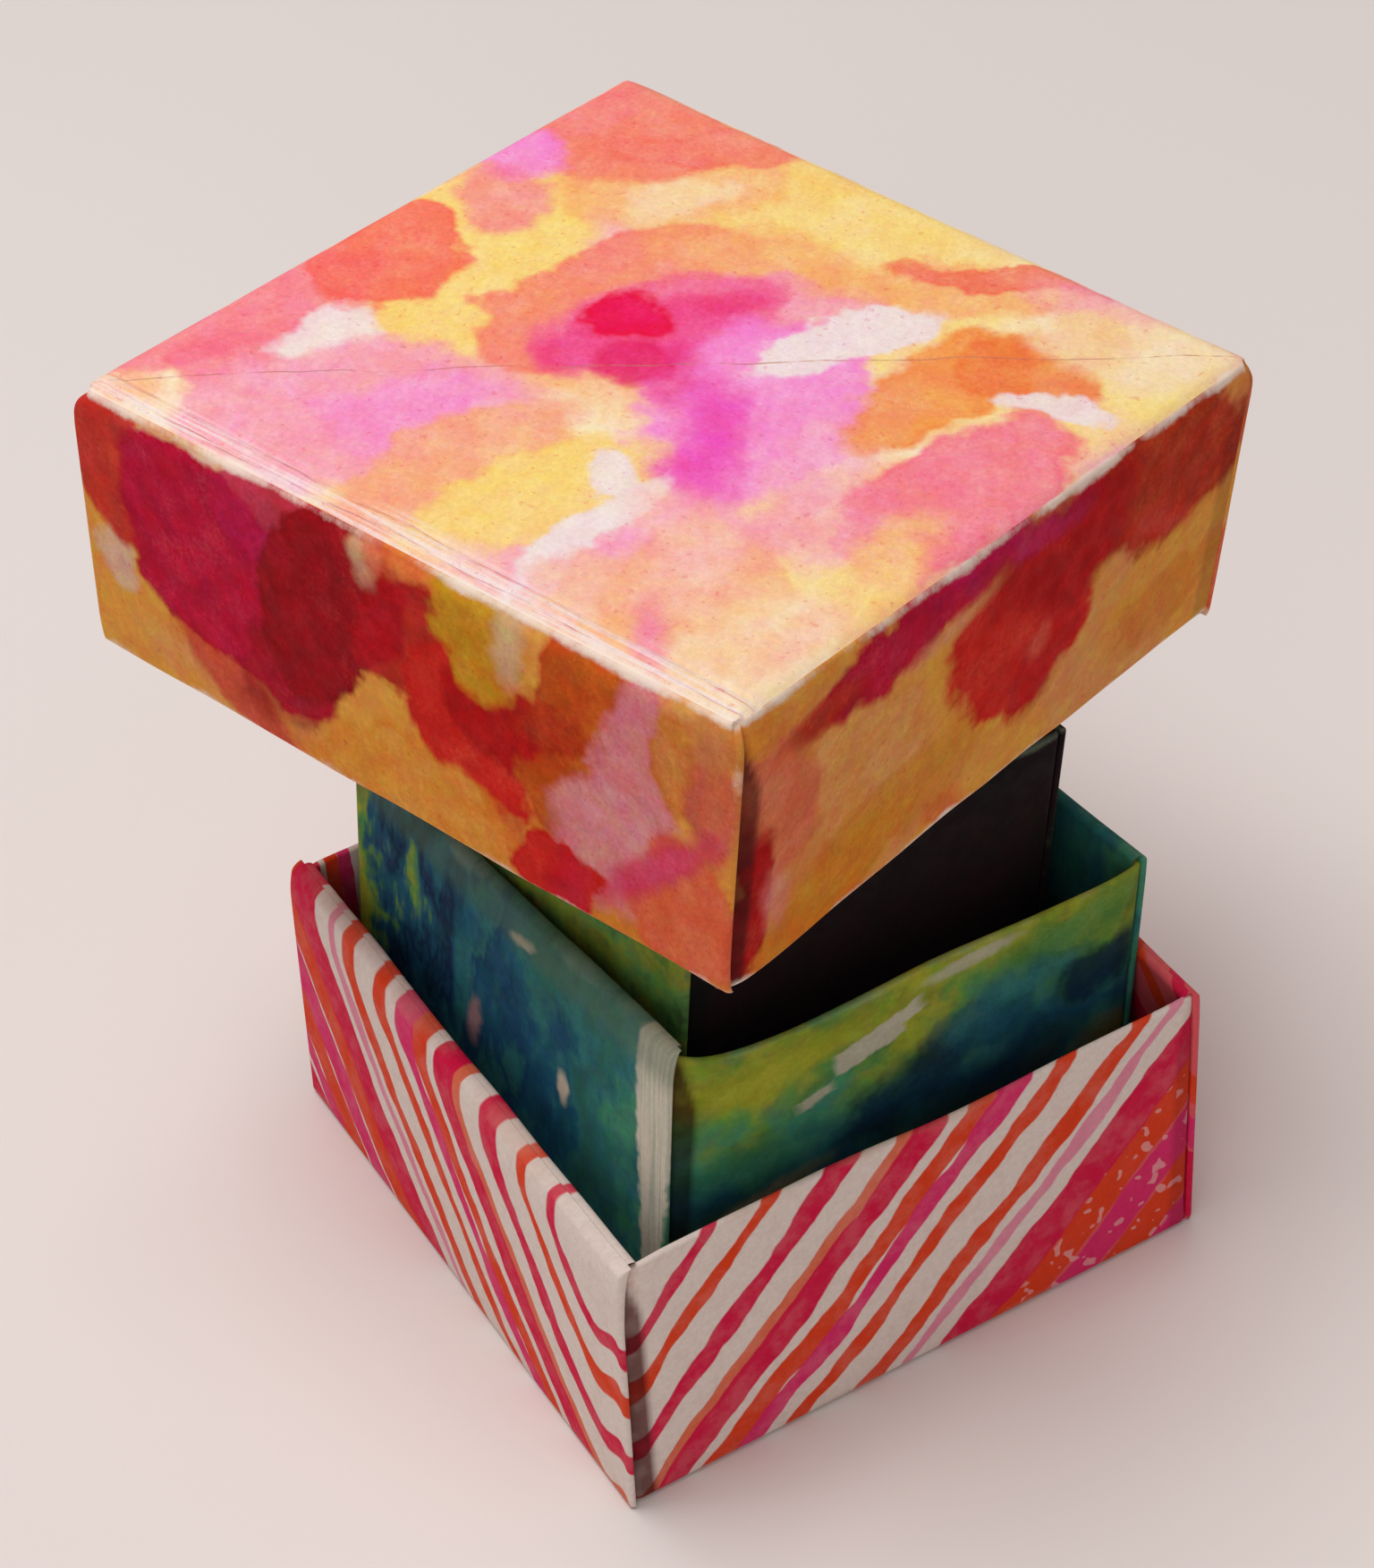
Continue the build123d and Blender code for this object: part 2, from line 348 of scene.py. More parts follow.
def tray_shape(p, part, f):
    """Soft B rims, and a front-right rim that dips at the corner and past the middle."""
    d = soft_walls(p, part, f, bulge=0.3, rim=0.35, dip=0.8, puff=0.55, shoulder=0.45, seed=3.0)
    x, y, z = p.T
    front = (part == A_PART) * (y < 0) * np.clip(z / f.height, 0, 1) ** 5
    d[:, 2] += front * (-0.4 * near(x + 25, 1.6) - 0.45 * near(x - 6, 8) + 0.25 * near(x + 8, 8))
    return d


def green_shape(p, part, f):
    """A front-right wall that falls away and bows out beside the front corner."""
    d = soft_walls(p, part, f, bulge=0.3, rim=0.3, dip=0.5, puff=0.1, shoulder=0.5, seed=1.0)
    x, y, z = p.T
    front = (part == A_PART) * (y < 0)
    h = np.clip(z / f.height, 0, 1)
    level = 1 - np.exp(-(f.half - np.abs(x)) / 2.5)
    d[:, 1] -= front * (0.3 * level + 0.9 * corner_bow(x, f, 6.5)) * h ** 3
    d[:, 2] -= front * (0.9 * level + 0.7 * corner_bow(x, f, 7.5)) * h ** 5
    return d


def inner_shape(p, part, f):
    """Straight walls with slight ripples."""
    return soft_walls(p, part, f, bulge=0.0, rim=0.0, dip=0.2, puff=0.0, shoulder=0.0, seed=2.0)


def lid_shape(p, part, f):
    """A closed face with rounded edges, two scored ridges and a low diagonal one, and walls that bow."""
    d = soft_walls(p, part, f, bulge=0.25, rim=0.2, dip=0.9, puff=0.2, shoulder=0.3, seed=5.0)
    x, y, z = p.T
    h = np.clip(z / f.height, 0, 1)
    d[:, 2] += (part == A_PART) * (y > 0) * corner_bow(x, f, 6.0) * h ** 6
    d[:, 2] += 0.5 * x * y / f.half ** 2 * (1 - 0.4 * h)
    # low and scored ridges on the closed face
    closed = z < 0.02
    d[:, 2] += closed * 0.15 * near((x - y) / 1.414, 4.0) * near(x / 22, 1.0)
    d[:, 2] += closed * 0.09 * (near(f.half + x - 1.6, 0.2) + near(f.half + x - 2.9, 0.2))
    # A walls come out to their B wall at the right end, and B walls' edges lie flush near the closed face
    d[:, 1] += np.sign(y) * (part == A_PART) * 0.32 * near(f.half - x, 2.0) * ease(z, 0, 2.5)
    flush = np.sign(y) * (part == B_PART) * (x < 0) * 0.32 * ease(np.abs(y), f.half - 1.0, f.half)
    d[:, 1] -= flush * near(z, 1.7)
    # rounded edges and corners, the same for all layers that meet there
    in_x, in_y = f.half - np.abs(x), f.half - np.abs(y)
    d[:, 0] -= np.sign(x) * 0.45 * near(z, 1.1) * near(in_x, 1.2)
    d[:, 1] -= np.sign(y) * 0.45 * near(z, 1.1) * near(in_y, 1.2)
    d[:, 2] += 0.55 * near(z, 1.1) * near(np.minimum(in_x, in_y), 1.2)
    corner = near(z, 1.6) * ease(np.abs(x), f.half - 1.6, f.half) * ease(np.abs(y), f.half - 1.6, f.half)
    d[:, 0] -= np.sign(x) * 0.55 * corner
    d[:, 1] -= np.sign(y) * 0.55 * corner
    return d


def base_shape(p, part, f):
    """The hidden box stays straight."""
    return np.zeros_like(p)


def srgb(r, g, b):
    """A colour written as it looks on screen, 0 to 255."""
    c = np.array([r, g, b]) / 255
    lin = np.where(c <= 0.04045, c / 12.92, ((c + 0.055) / 1.055) ** 2.4)
    return (*lin.tolist(), 1.0)


class Paint:
    """Builds one paper's paint as nodes, from the flat sheet's own coordinates in millimetres."""

    def __init__(self, name, paper):
        self.mat = bpy.data.materials.new(name)
        self.mat.use_nodes = True
        self.tree = self.mat.node_tree
        self.shader = self.tree.nodes["Principled BSDF"]
        self.paper = paper
        self.colour = paper
        self.sheet = self.uv("sheet")
        self.s, self.t = self.split(self.sheet)

    def node(self, kind, inputs=(), **settings):
        n = self.tree.nodes.new(kind)
        for key, value in settings.items():
            setattr(n, key, value)
        for key, value in dict(inputs).items():
            if isinstance(value, bpy.types.NodeSocket):
                self.tree.links.new(value, n.inputs[key])
            else:
                n.inputs[key].default_value = value
        return n

    def uv(self, layer):
        return self.vec("SCALE", self.node("ShaderNodeUVMap", uv_map=layer).outputs[0], 100.0)

    def vec(self, op, a, b):
        n = self.node("ShaderNodeVectorMath", {0: a, "Scale" if op == "SCALE" else 1: b}, operation=op)
        return n.outputs["Value" if op == "DISTANCE" else "Vector"]

    def math(self, op, a, b=0.0, clamp=False):
        return self.node("ShaderNodeMath", {0: a, 1: b}, operation=op, use_clamp=clamp).outputs[0]

    def split(self, vector):
        return self.node("ShaderNodeSeparateXYZ", {0: vector}).outputs[:2]

    def noise(self, scale, detail, rough, seed, at=None, colour=False):
        place = self.vec("ADD", self.sheet if at is None else at, (seed * 171.0, seed * 93.0, 0.0))
        sizes = {"Vector": place, "Scale": scale, "Detail": detail, "Roughness": rough}
        return self.node("ShaderNodeTexNoise", sizes, noise_dimensions="2D").outputs["Color" if colour else 0]

    def streaks(self, along, across, turn, seed):
        """Noise drawn out along one direction of the sheet, as a brush leaves it."""
        place = {"Vector": self.sheet, "Rotation": (0, 0, math.radians(turn)), "Scale": (along, across, 1)}
        place = self.node("ShaderNodeMapping", place, vector_type="TEXTURE")
        return self.noise(1.0, 4.0, 0.62, seed, place.outputs[0])

    def remap(self, value, lo, hi, to_lo=0.0, to_hi=1.0):
        limits = {"Value": value, "From Min": lo, "From Max": hi, "To Min": to_lo, "To Max": to_hi}
        return self.node("ShaderNodeMapRange", limits, interpolation_type="SMOOTHSTEP").outputs[0]

    def mix(self, fac, a, b, mode="MIX"):
        return self.node("ShaderNodeMix", {0: fac, 6: a, 7: b}, data_type="RGBA", blend_type=mode).outputs[2]

    def ramp(self, value, stops):
        n = self.node("ShaderNodeValToRGB", {0: value})
        while len(n.color_ramp.elements) < len(stops):
            n.color_ramp.elements.new(0.5)
        for element, (place, colour) in zip(n.color_ramp.elements, stops):
            element.position = place
            element.color = colour
        return n.outputs[0]

    def wander(self, scale, reach, seed, at):
        """The given coordinates pushed about by up to half the reach."""
        push = self.vec("SUBTRACT", self.noise(scale, 2.0, 0.4, seed, colour=True), (0.5, 0.5, 0.5))
        return self.vec("ADD", at, self.vec("MULTIPLY", push, (reach, reach, 0.0)))

    def wet(self, along=None, down=None, edge=0.0):
        """Makes ready for washes: coordinates as the face is seen, wandering outlines and uneven pigment."""
        along = self.s if along is None else self.math("ADD", along, edge)
        down = self.t if down is None else self.math("ADD", down, edge)
        seen = self.node("ShaderNodeCombineXYZ", {0: along, 1: down}).outputs[0]
        fine = self.wander(1.1, 0.9, 1.0, self.wander(0.3, 2.6, 7.0, seen))
        self.outlines = [self.wander(0.07, 8.0, seed, fine) for seed in (2.0, 3.0)]
        self.small = self.wander(0.7, 0.9, 8.0, seen)
        grain = self.math("MULTIPLY", self.noise(2.4, 3.0, 0.7, 5.0), 0.6)
        self.pigment = self.math("ADD", self.noise(0.22, 4.0, 0.65, 4.0), grain)
        self.strokes = 0

    def wash(self, place, size, turn, colour, cover, soft, straight=False):
        """A stroke of wash over what is there, with a dried edge a little darker than its middle."""
        outline = self.small if min(size) < 1.7 else self.outlines[self.strokes % 2]
        inputs = {"Vector": outline, "Location": (*place, 0), "Scale": (*size, 1)}
        self.strokes += 1
        turned = self.node("ShaderNodeMapping", inputs, vector_type="TEXTURE")
        turned.inputs["Rotation"].default_value = (0, 0, math.radians(turn))
        if straight:
            sides = [self.math("ABSOLUTE", side) for side in self.split(turned.outputs[0])]
            away = self.math("MAXIMUM", *sides)
        else:
            away = self.vec("DISTANCE", turned.outputs[0], (0, 0, 0))
        edge = soft / min(size)
        shape = self.remap(away, 1 + edge, 1 - edge, 0.0, cover)
        dried = self.remap(away, 1 - 1.0 / min(size), 1, 0.0, 0.55)
        depth = self.math("ADD", dried, self.remap(self.pigment, 0.55, 1.0, 0.0, 0.8))
        deep = tuple(c * c ** 0.35 for c in colour[:3]) + (1.0,)
        thin = self.math("MULTIPLY", shape, self.remap(self.pigment, 0.4, 0.8, 0.9, 1.0))
        self.colour = self.mix(thin, self.colour, self.mix(depth, colour, deep))

    def band(self, across, centre, half, colour, cover=1.0, soft=0.16):
        """A stripe along a coordinate. The half width can be a value or a socket."""
        away = self.math("ABSOLUTE", self.math("SUBTRACT", across, centre))
        shape = self.remap(self.math("SUBTRACT", away, half), soft, -soft)
        self.colour = self.mix(self.math("MULTIPLY", shape, cover), self.colour, colour)

    def finish(self, wear, wear_colour, rough, grain):
        """Paper grain, painted shade in the slits, worn folds and the bare side of the sheet."""
        fine = self.noise(1.9, 3.0, 0.65, 31.0)
        fibre = self.noise(7.0, 2.0, 0.6, 33.0)
        coarse = self.remap(fine, 0.25, 0.75, 0.94, 1.03)
        tone = self.math("ADD", coarse, self.remap(fibre, 0.25, 0.75, -0.04, 0.03))
        self.colour = self.mix(1.0, self.colour, tone, "MULTIPLY")
        # painted shade along the slits beside the B walls' folded edges: a dark red-brown multiplied into the
        # colour
        slit_shade = self.node("ShaderNodeAttribute", attribute_name="slit_shade").outputs["Fac"]
        patchy = self.remap(self.noise(0.3, 2.0, 0.5, 39.0), 0.3, 0.6, 0.82, 0.98)
        painted_slit_shade = self.math("MULTIPLY", slit_shade, patchy)
        self.colour = self.mix(painted_slit_shade, self.colour, (0.2, 0.1, 0.1, 1), "MULTIPLY")
        fold = self.node("ShaderNodeAttribute", attribute_name="fold").outputs["Fac"]
        slow = self.math("MULTIPLY", self.noise(0.13, 2.0, 0.6, 36.0), 2.6)
        uneven = self.math("ADD", self.math("MULTIPLY", self.noise(1.3, 4.0, 0.7, 35.0), 0.7), slow)
        ragged = self.math("ADD", fold, self.math("MULTIPLY", uneven, 0.8))
        worn = self.math("MULTIPLY", self.remap(ragged, 1.85, 2.5, 0.0, wear), self.remap(fold, 0.1, 0.4))
        self.colour = self.mix(worn, self.colour, wear_colour)
        bare = self.node("ShaderNodeAttribute", attribute_name="bare").outputs["Fac"]
        self.colour = self.mix(bare, self.colour, self.paper)
        self.tree.links.new(self.colour, self.shader.inputs["Base Color"])
        spread = self.remap(self.noise(0.5, 3.0, 0.6, 37.0), 0.3, 0.7, rough - 0.1, rough + 0.08)
        self.tree.links.new(spread, self.shader.inputs["Roughness"])
        self.shader.inputs["Specular IOR Level"].default_value = 0.15
        height = self.math("ADD", self.math("MULTIPLY", fine, 0.6), self.math("MULTIPLY", fibre, 0.4))
        bump = self.node("ShaderNodeBump", {"Height": height, "Strength": grain, "Distance": 0.00015})
        self.tree.links.new(bump.outputs[0], self.shader.inputs["Normal"])
        return self.mat


# Colours of the striped paper
PAPER_WHITE = srgb(228, 212, 203)
CRIMSON = srgb(212, 12, 66)
MAGENTA = srgb(220, 40, 104)
ORANGE = srgb(222, 62, 22)
ROSE = srgb(226, 138, 160)
TERRACOTTA = srgb(222, 106, 76)

# Stripes across the sheet: centre and width in millimetres from the front corner's foot, and colour
STRIPES = [
    (-17.2, 1.7, CRIMSON), (-11.6, 1.9, ORANGE), (-5.2, 2.4, CRIMSON), (0.6, 1.7, TERRACOTTA),
    (2.9, 2.9, CRIMSON), (8.0, 2.5, ORANGE), (10.8, 2.4, MAGENTA), (15.4, 2.1, ORANGE),
    (22.0, 2.2, ORANGE), (25.4, 1.6, ROSE), (31.4, 5.4, CRIMSON), (36.4, 4.4, ORANGE),
    (41.6, 4.8, MAGENTA), (46.8, 4.6, ORANGE), (51.0, 3.0, MAGENTA), (55.0, 3.4, CRIMSON),
    (59.0, 4.4, CRIMSON), (63.6, 3.6, MAGENTA), (68.4, 3.6, ORANGE),
]


def striped_paper():
    """White paper with hand-painted stripes of uneven width."""
    p = Paint("striped_paper", PAPER_WHITE)
    bands = p.uv("bands")
    slow = p.math("MULTIPLY", p.math("SUBTRACT", p.noise(0.05, 2.0, 0.5, 2.0, bands), 0.5), 2.4)
    quick = p.math("MULTIPLY", p.math("SUBTRACT", p.noise(0.4, 2.0, 0.5, 4.0, bands), 0.5), 0.4)
    # place across the stripes, pushed about a little
    whole = p.math("ADD", p.math("ADD", p.split(bands)[0], slow), quick)
    # the row of stripes starts anew after the last one
    across = p.math("SUBTRACT", p.math("FLOORED_MODULO", p.math("ADD", whole, 26.0), 100.0), 26.0)
    swell = p.remap(p.noise(0.08, 2.0, 0.5, 6.0, bands), 0.3, 0.7, -0.3, 0.35)
    cover = p.remap(p.noise(0.3, 4.0, 0.65, 8.0), 0.35, 0.75, 1.0, 0.9)
    # away from the front corner the stripes of the front-right wall crowd together on a rosy ground
    far_right = p.remap(p.s, -27.6, -26.6)
    ground = srgb(222, 88, 96)
    p.band(across, 50.0, 16.4, ground, far_right, 0.3)
    # the ground runs on round the right corner
    p.band(whole, 81.0, 23.0, ground, p.remap(p.s, 26.0, 27.0), 0.3)
    for centre, width, colour in STRIPES:
        p.band(across, centre, p.math("ADD", swell, 0.55 * width), colour, cover)
    # there the brush has left light dabs between them
    crowded = p.math("MULTIPLY", p.remap(across, 33.6, 34.4), p.remap(across, 50.0, 49.0))
    crowded = p.math("MULTIPLY", crowded, far_right)
    dabs = p.remap(p.noise(0.7, 1.0, 0.4, 12.0), 0.63, 0.68, 0.0, 0.6)
    p.colour = p.mix(p.math("MULTIPLY", dabs, crowded), p.colour, srgb(238, 176, 176))
    deep = p.remap(p.noise(0.5, 3.0, 0.6, 14.0), 0.45, 0.7, 0.0, 0.3)
    p.colour = p.mix(deep, p.colour, (0.9, 0.8, 0.78, 1), "MULTIPLY")
    # a brown stain runs down from the rim beside the front corner
    patchy = p.remap(p.noise(0.6, 3.0, 0.6, 16.0), 0.3, 0.6)
    stain = p.math("MULTIPLY", p.remap(p.t, -42.0, -51.0, 0.0, 0.5), patchy)
    p.band(p.s, -25.3, 0.5, srgb(176, 116, 92), stain, 0.7)
    return p.finish(0.25, srgb(206, 150, 128), 0.8, 0.14)


# Colours of the orange paper's closed face
HOT = srgb(240, 16, 92)
FUCHSIA = srgb(244, 84, 190)
LILAC = srgb(250, 150, 218)
PINK = srgb(250, 168, 190)
ROSY = srgb(249, 132, 156)
SALMON = srgb(249, 140, 124)
APRICOT = srgb(251, 186, 130)
YELLOW = srgb(252, 220, 134)
CREAM = srgb(252, 228, 190)
CHALK = srgb(246, 230, 228)
TANGERINE = srgb(248, 158, 84)
BLUSH = srgb(250, 190, 172)

# Colours of its walls, darker than the closed face's partly because painted shade is in them
OCHRE = srgb(230, 156, 64)
TAN = srgb(226, 150, 84)
AMBER = srgb(218, 124, 34)
MUSTARD = srgb(214, 158, 40)
RUST = srgb(190, 56, 22)
BRICK = srgb(216, 44, 32)
BLOOD = srgb(190, 14, 16)
WINE = srgb(168, 8, 30)
CERISE = srgb(200, 14, 66)
MAUVE = srgb(226, 140, 148)
CORAL = srgb(228, 98, 62)

# Place of the outer scored line on the closed face's sheet
SCORED = -29.9

# Washes, in millimetres from the front corner as the face is seen: middle (along the front edge, away from
# it), half sizes, turn in degrees, colour, cover and softness of the outline
TOP_WASHES = [
    ((30, 53), (18, 8), 12, YELLOW, 0.9, 1.2), ((55, 36), (9, 15), 0, YELLOW, 0.85, 1.5),
    ((52, 49), (9, 8), 0, APRICOT, 0.8, 1.5), ((50, 46), (5, 3), 20, CREAM, 0.7, 1.0),
    ((56, 57), (9, 8), 0, SALMON, 0.85, 1.0), ((58, 50), (10, 3), -48, SALMON, 0.85, 0.6),
    ((47, 60), (4.5, 4), 0, LILAC, 0.9, 1.0), ((40, 57), (4, 6), -20, ROSY, 0.7, 1.0),
    ((16, 60), (13, 5), -12, ROSY, 0.85, 0.8), ((27, 57), (7.5, 7), 10, srgb(250, 122, 108), 0.9, 0.6),
    ((15, 53), (8, 4), 10, CHALK, 0.9, 0.6), ((10, 56), (4, 3.5), 0, ROSY, 0.85, 0.8),
    ((10, 46), (12, 9), -10, PINK, 0.9, 1.0), ((15, 41), (8, 6), -30, LILAC, 0.6, 2.0),
    ((36, 39), (13, 9), -12, SALMON, 0.85, 0.6), ((47, 34), (4, 9), 10, APRICOT, 0.75, 1.5),
    ((44, 29), (6, 4), -48, PINK, 0.85, 0.6), ((35, 35), (10, 7), -15, srgb(247, 116, 164), 0.85, 1.0),
    ((30, 24), (12, 8), 35, LILAC, 0.9, 1.0), ((33, 35.5), (7.5, 5), -14, srgb(244, 80, 146), 0.85, 1.2),
    ((28.5, 33), (4.4, 2.6), 10, srgb(236, 54, 122), 0.85, 0.6),
    ((41, 33), (2.6, 1.6), -30, srgb(242, 70, 140), 0.8, 1.0),
    ((34.4, 38.2), (3.3, 3.4), -10, HOT, 1.0, 0.6), ((30, 29.5), (4, 2), 20, srgb(240, 60, 140), 0.7, 1.0),
    ((10, 34), (11, 5), -8, srgb(250, 178, 142), 0.9, 0.8), ((12, 28), (10, 4.4), -12, YELLOW, 0.9, 0.8),
    ((25, 23), (7, 2.6), 42, FUCHSIA, 0.85, 1.5), ((16, 17), (6, 2.4), 35, srgb(249, 120, 190), 0.7, 1.5),
    ((28, 15), (7, 4), 20, srgb(250, 182, 200), 0.6, 1.5), ((42, 23.5), (7.6, 3), -12, CHALK, 0.95, 0.4),
    ((37, 17), (2.4, 4.4), -50, CHALK, 0.8, 0.8), ((9, 22.5), (10.5, 2.2), 8, CHALK, 0.95, 0.4),
    ((18, 24), (3.4, 2), 50, CHALK, 0.9, 0.5), ((5, 19), (5, 4), 0, BLUSH, 0.8, 1.0),
    ((42, 15.5), (10, 4.8), -6, TANGERINE, 0.9, 0.6),
    ((48, 11.5), (4.6, 4.6), 0, srgb(245, 140, 82), 0.85, 0.8), ((45, 8), (2.2, 4), 34, CHALK, 0.9, 0.4),
    ((57, 8), (7, 8), 20, CREAM, 0.85, 1.5), ((54, 22), (12, 3.4), -52, APRICOT, 0.85, 0.8),
    ((58, 20), (9, 2.2), -54, srgb(247, 126, 104), 0.85, 0.4), ((31, 5.5), (12, 6), 4, ROSY, 0.9, 0.6),
    ((11, 12), (9, 6), 34, srgb(250, 184, 150), 0.9, 1.0), ((20, 5), (7, 3), 6, YELLOW, 0.7, 1.2),
    ((5, 4), (8, 4), 8, CREAM, 0.9, 1.2), ((8, 7), (7, 1.8), 24, srgb(252, 208, 170), 0.7, 1.2),
    ((4, 11), (3.6, 1.0), 40, FUCHSIA, 0.5, 1.0), ((11, 3.6), (5, 1.6), 4, srgb(251, 196, 168), 0.7, 1.0),
    ((55, 10), (5, 3), 30, srgb(250, 204, 150), 0.7, 1.5), ((60, 12), (2.4, 5), 0, PINK, 0.6, 1.2),
    ((22, 9), (6, 3.6), 20, PINK, 0.7, 1.5), ((13, 16), (7, 3.4), 30, srgb(252, 200, 190), 0.7, 1.5),
]
FRONT_RIGHT_WASHES = [
    ((14, 11), (9, 6), 8, srgb(232, 166, 98), 0.8, 0.6),
    ((17, 19), (12, 4), -4, srgb(220, 148, 46), 0.75, 1.2),
    ((4.5, 9), (4.5, 8), -24, srgb(226, 120, 90), 0.85, 1.0), ((5, 2), (5, 2.6), 0, OCHRE, 0.8, 0.6),
    ((52, 5), (11, 6), 6, RUST, 1.0, 0.8), ((51, 9.5), (5, 1.6), 20, srgb(214, 70, 54), 0.7, 0.8),
    ((33, 10.5), (10, 6.2), 30, BRICK, 1.0, 0.6), ((38, 5), (8, 6), 0, BLOOD, 1.0, 1.6),
    ((37.5, 14.5), (3.4, 4.6), -16, srgb(202, 26, 24), 1.0, 1.2),
    ((36, 12.5), (1.5, 1.5), 0, srgb(226, 96, 78), 0.8, 0.6), ((20, 2.6), (13, 2.4), -9, CERISE, 1.0, 0.5),
    ((30, 1.2), (9, 2.2), 0, srgb(196, 22, 90), 0.85, 1.0), ((10, 4.2), (4, 1.5), -6, RUST, 0.8, 0.6),
    ((24, 5), (5, 0.9), -12, srgb(230, 166, 120), 0.7, 0.6), ((1.8, 18), (2.8, 7.4), 8, BLOOD, 1.0, 0.5),
    ((6, 18), (1.5, 2.6), -10, srgb(232, 150, 136), 0.7, 0.8), ((26, 22.5), (3, 1.6), 30, CORAL, 0.6, 0.8),
    ((54, 18), (7, 3), -6, AMBER, 0.55, 1.2),
]
FRONT_LEFT_WASHES = [
    ((59, 14), (2.6, 3.4), 0, srgb(228, 190, 164), 0.9, 0.6),
    ((52, 0.5), (6, 2.4), 0, srgb(228, 196, 170), 0.9, 0.6),
    ((59.5, 4.5), (5, 7), 0, srgb(206, 32, 44), 0.92, 0.6),
    ((47, 19.5), (7, 2.6), -30, srgb(214, 62, 60), 0.8, 0.8),
    ((47.5, 10.5), (12.5, 7.4), -36, CERISE, 1.0, 0.5),
    ((42, 3.5), (6.5, 5), 30, srgb(198, 20, 84), 0.9, 0.6), ((42, 16.5), (8, 4.2), 52, WINE, 0.7, 0.8),
    ((36.5, 8), (9.6, 5.4), 52, WINE, 1.0, 0.5),
    ((33.5, 1), (1.5, 3.4), 10, srgb(222, 172, 140), 0.85, 0.5),
    ((29.6, 1), (3.6, 2.4), 0, CORAL, 0.7, 1.0), ((29, 7), (6, 5.6), 10, srgb(194, 12, 34), 0.94, 0.5),
    ((24, 13), (6, 8), 24, BRICK, 1.0, 0.5), ((20, 10), (7, 3.8), -16, BLOOD, 1.0, 0.6),
    ((23.6, 3.4), (3.2, 5), 0, MUSTARD, 0.95, 0.5),
    ((20, 2.6), (1.5, 4), 0, srgb(226, 186, 150), 0.85, 0.5),
    ((14.8, 5), (4.2, 6.6), 0, srgb(206, 90, 18), 0.95, 0.5),
    ((14.4, 13), (3.4, 4), 14, srgb(204, 96, 20), 0.92, 0.5), ((17, 8), (4, 2.2), -10, RUST, 0.8, 0.8),
    ((9, 8), (4, 9.6), 0, MAUVE, 0.94, 0.6), ((10.5, 16), (6, 5), 30, srgb(226, 146, 150), 0.9, 0.8),
    ((5, 6), (2.8, 5), 0, srgb(218, 140, 66), 0.94, 0.5), ((30, 20.5), (11, 4), 0, OCHRE, 0.9, 0.6),
    ((1.2, 8), (2.6, 5.6), -8, srgb(214, 104, 84), 0.85, 0.8),
    ((2, 1.6), (3, 1.7), 0, srgb(206, 132, 78), 0.8, 0.8),
    ((4, 19), (6, 6.6), 0, srgb(230, 112, 78), 0.92, 0.8),
    ((6.3, 15.8), (8, 1.4), 45, srgb(224, 70, 120), 0.8, 0.8), ((16, 21), (4.2, 4.4), 0, BRICK, 1.0, 0.4),
    ((14.6, 21.5), (2.4, 3), 0, srgb(204, 18, 56), 0.75, 0.8),
]


def washed_paper(name, stops, washes, seen, wear, creased):
    """Paper covered in warm watercolour: a ground of merging fields, then strokes over it.

    seen is the face that the strokes are laid out on: the closed one, or the walls right or left of the front
    corner. A wall and the one across from it carry the same strokes.
    """
    p = Paint(name, CHALK)
    edge = LID_SIDE / 2
    if seen == "top":
        p.wet(p.s, p.t, edge)
    else:
        along, away = (p.s, p.t) if seen == "right" else (p.t, p.s)
        p.wet(along, p.math("SUBTRACT", p.math("ABSOLUTE", away), 2 * edge), edge)
    fields = p.math("ADD", p.noise(0.045, 1.0, 0.4, 9.0, p.outlines[0]), p.math("MULTIPLY", p.pigment, 0.06))
    p.colour = p.ramp(fields, stops)
    for stroke in washes:
        p.wash(*stroke)
    if creased:
        loose = p.split(p.wander(0.12, 1.6, 41.0, p.sheet))
        broken = p.remap(p.noise(0.25, 3.0, 0.6, 43.0), 0.4, 0.55, 0.2, 0.75)
        p.band(p.math("ADD", *loose), 0.0, 0.1, srgb(190, 116, 100), broken, 0.1)
        # two scored lines along the front-left edge, and bare streaks around the outer one
        for place, half in ((SCORED, 0.08), (SCORED + 1.2, 0.05)):
            p.band(loose[0], place, half, srgb(196, 90, 96), broken, 0.1)
        streaky = p.remap(p.streaks(14.0, 0.45, 90, 47.0), 0.4, 0.62, 0.1, 0.8)
        p.band(loose[0], SCORED, 1.5, CHALK, streaky, 1.4)
    hues = p.noise(0.45, 4.0, 0.7, 45.0, colour=True)
    p.colour = p.mix(0.3 if creased else 0.45, p.colour, hues, "OVERLAY")
    brushed = p.streaks(4.0, 1.2, 30, 15.0)
    p.colour = p.mix(p.remap(brushed, 0.5, 0.72, 0.0, 0.2), p.colour, (1.0, 0.92, 0.86, 1), "SOFT_LIGHT")
    p.colour = p.mix(p.remap(brushed, 0.5, 0.3, 0.0, 0.1), p.colour, (0.85, 0.55, 0.5, 1), "MULTIPLY")
    specks = p.remap(p.noise(1.3, 2.0, 0.5, 17.0), 0.7, 0.74, 0.0, 0.35)
    p.colour = p.mix(specks, p.colour, (0.85, 0.3, 0.4, 1), "MULTIPLY")
    return p.finish(wear, srgb(248, 230, 214), 0.84, 0.16)


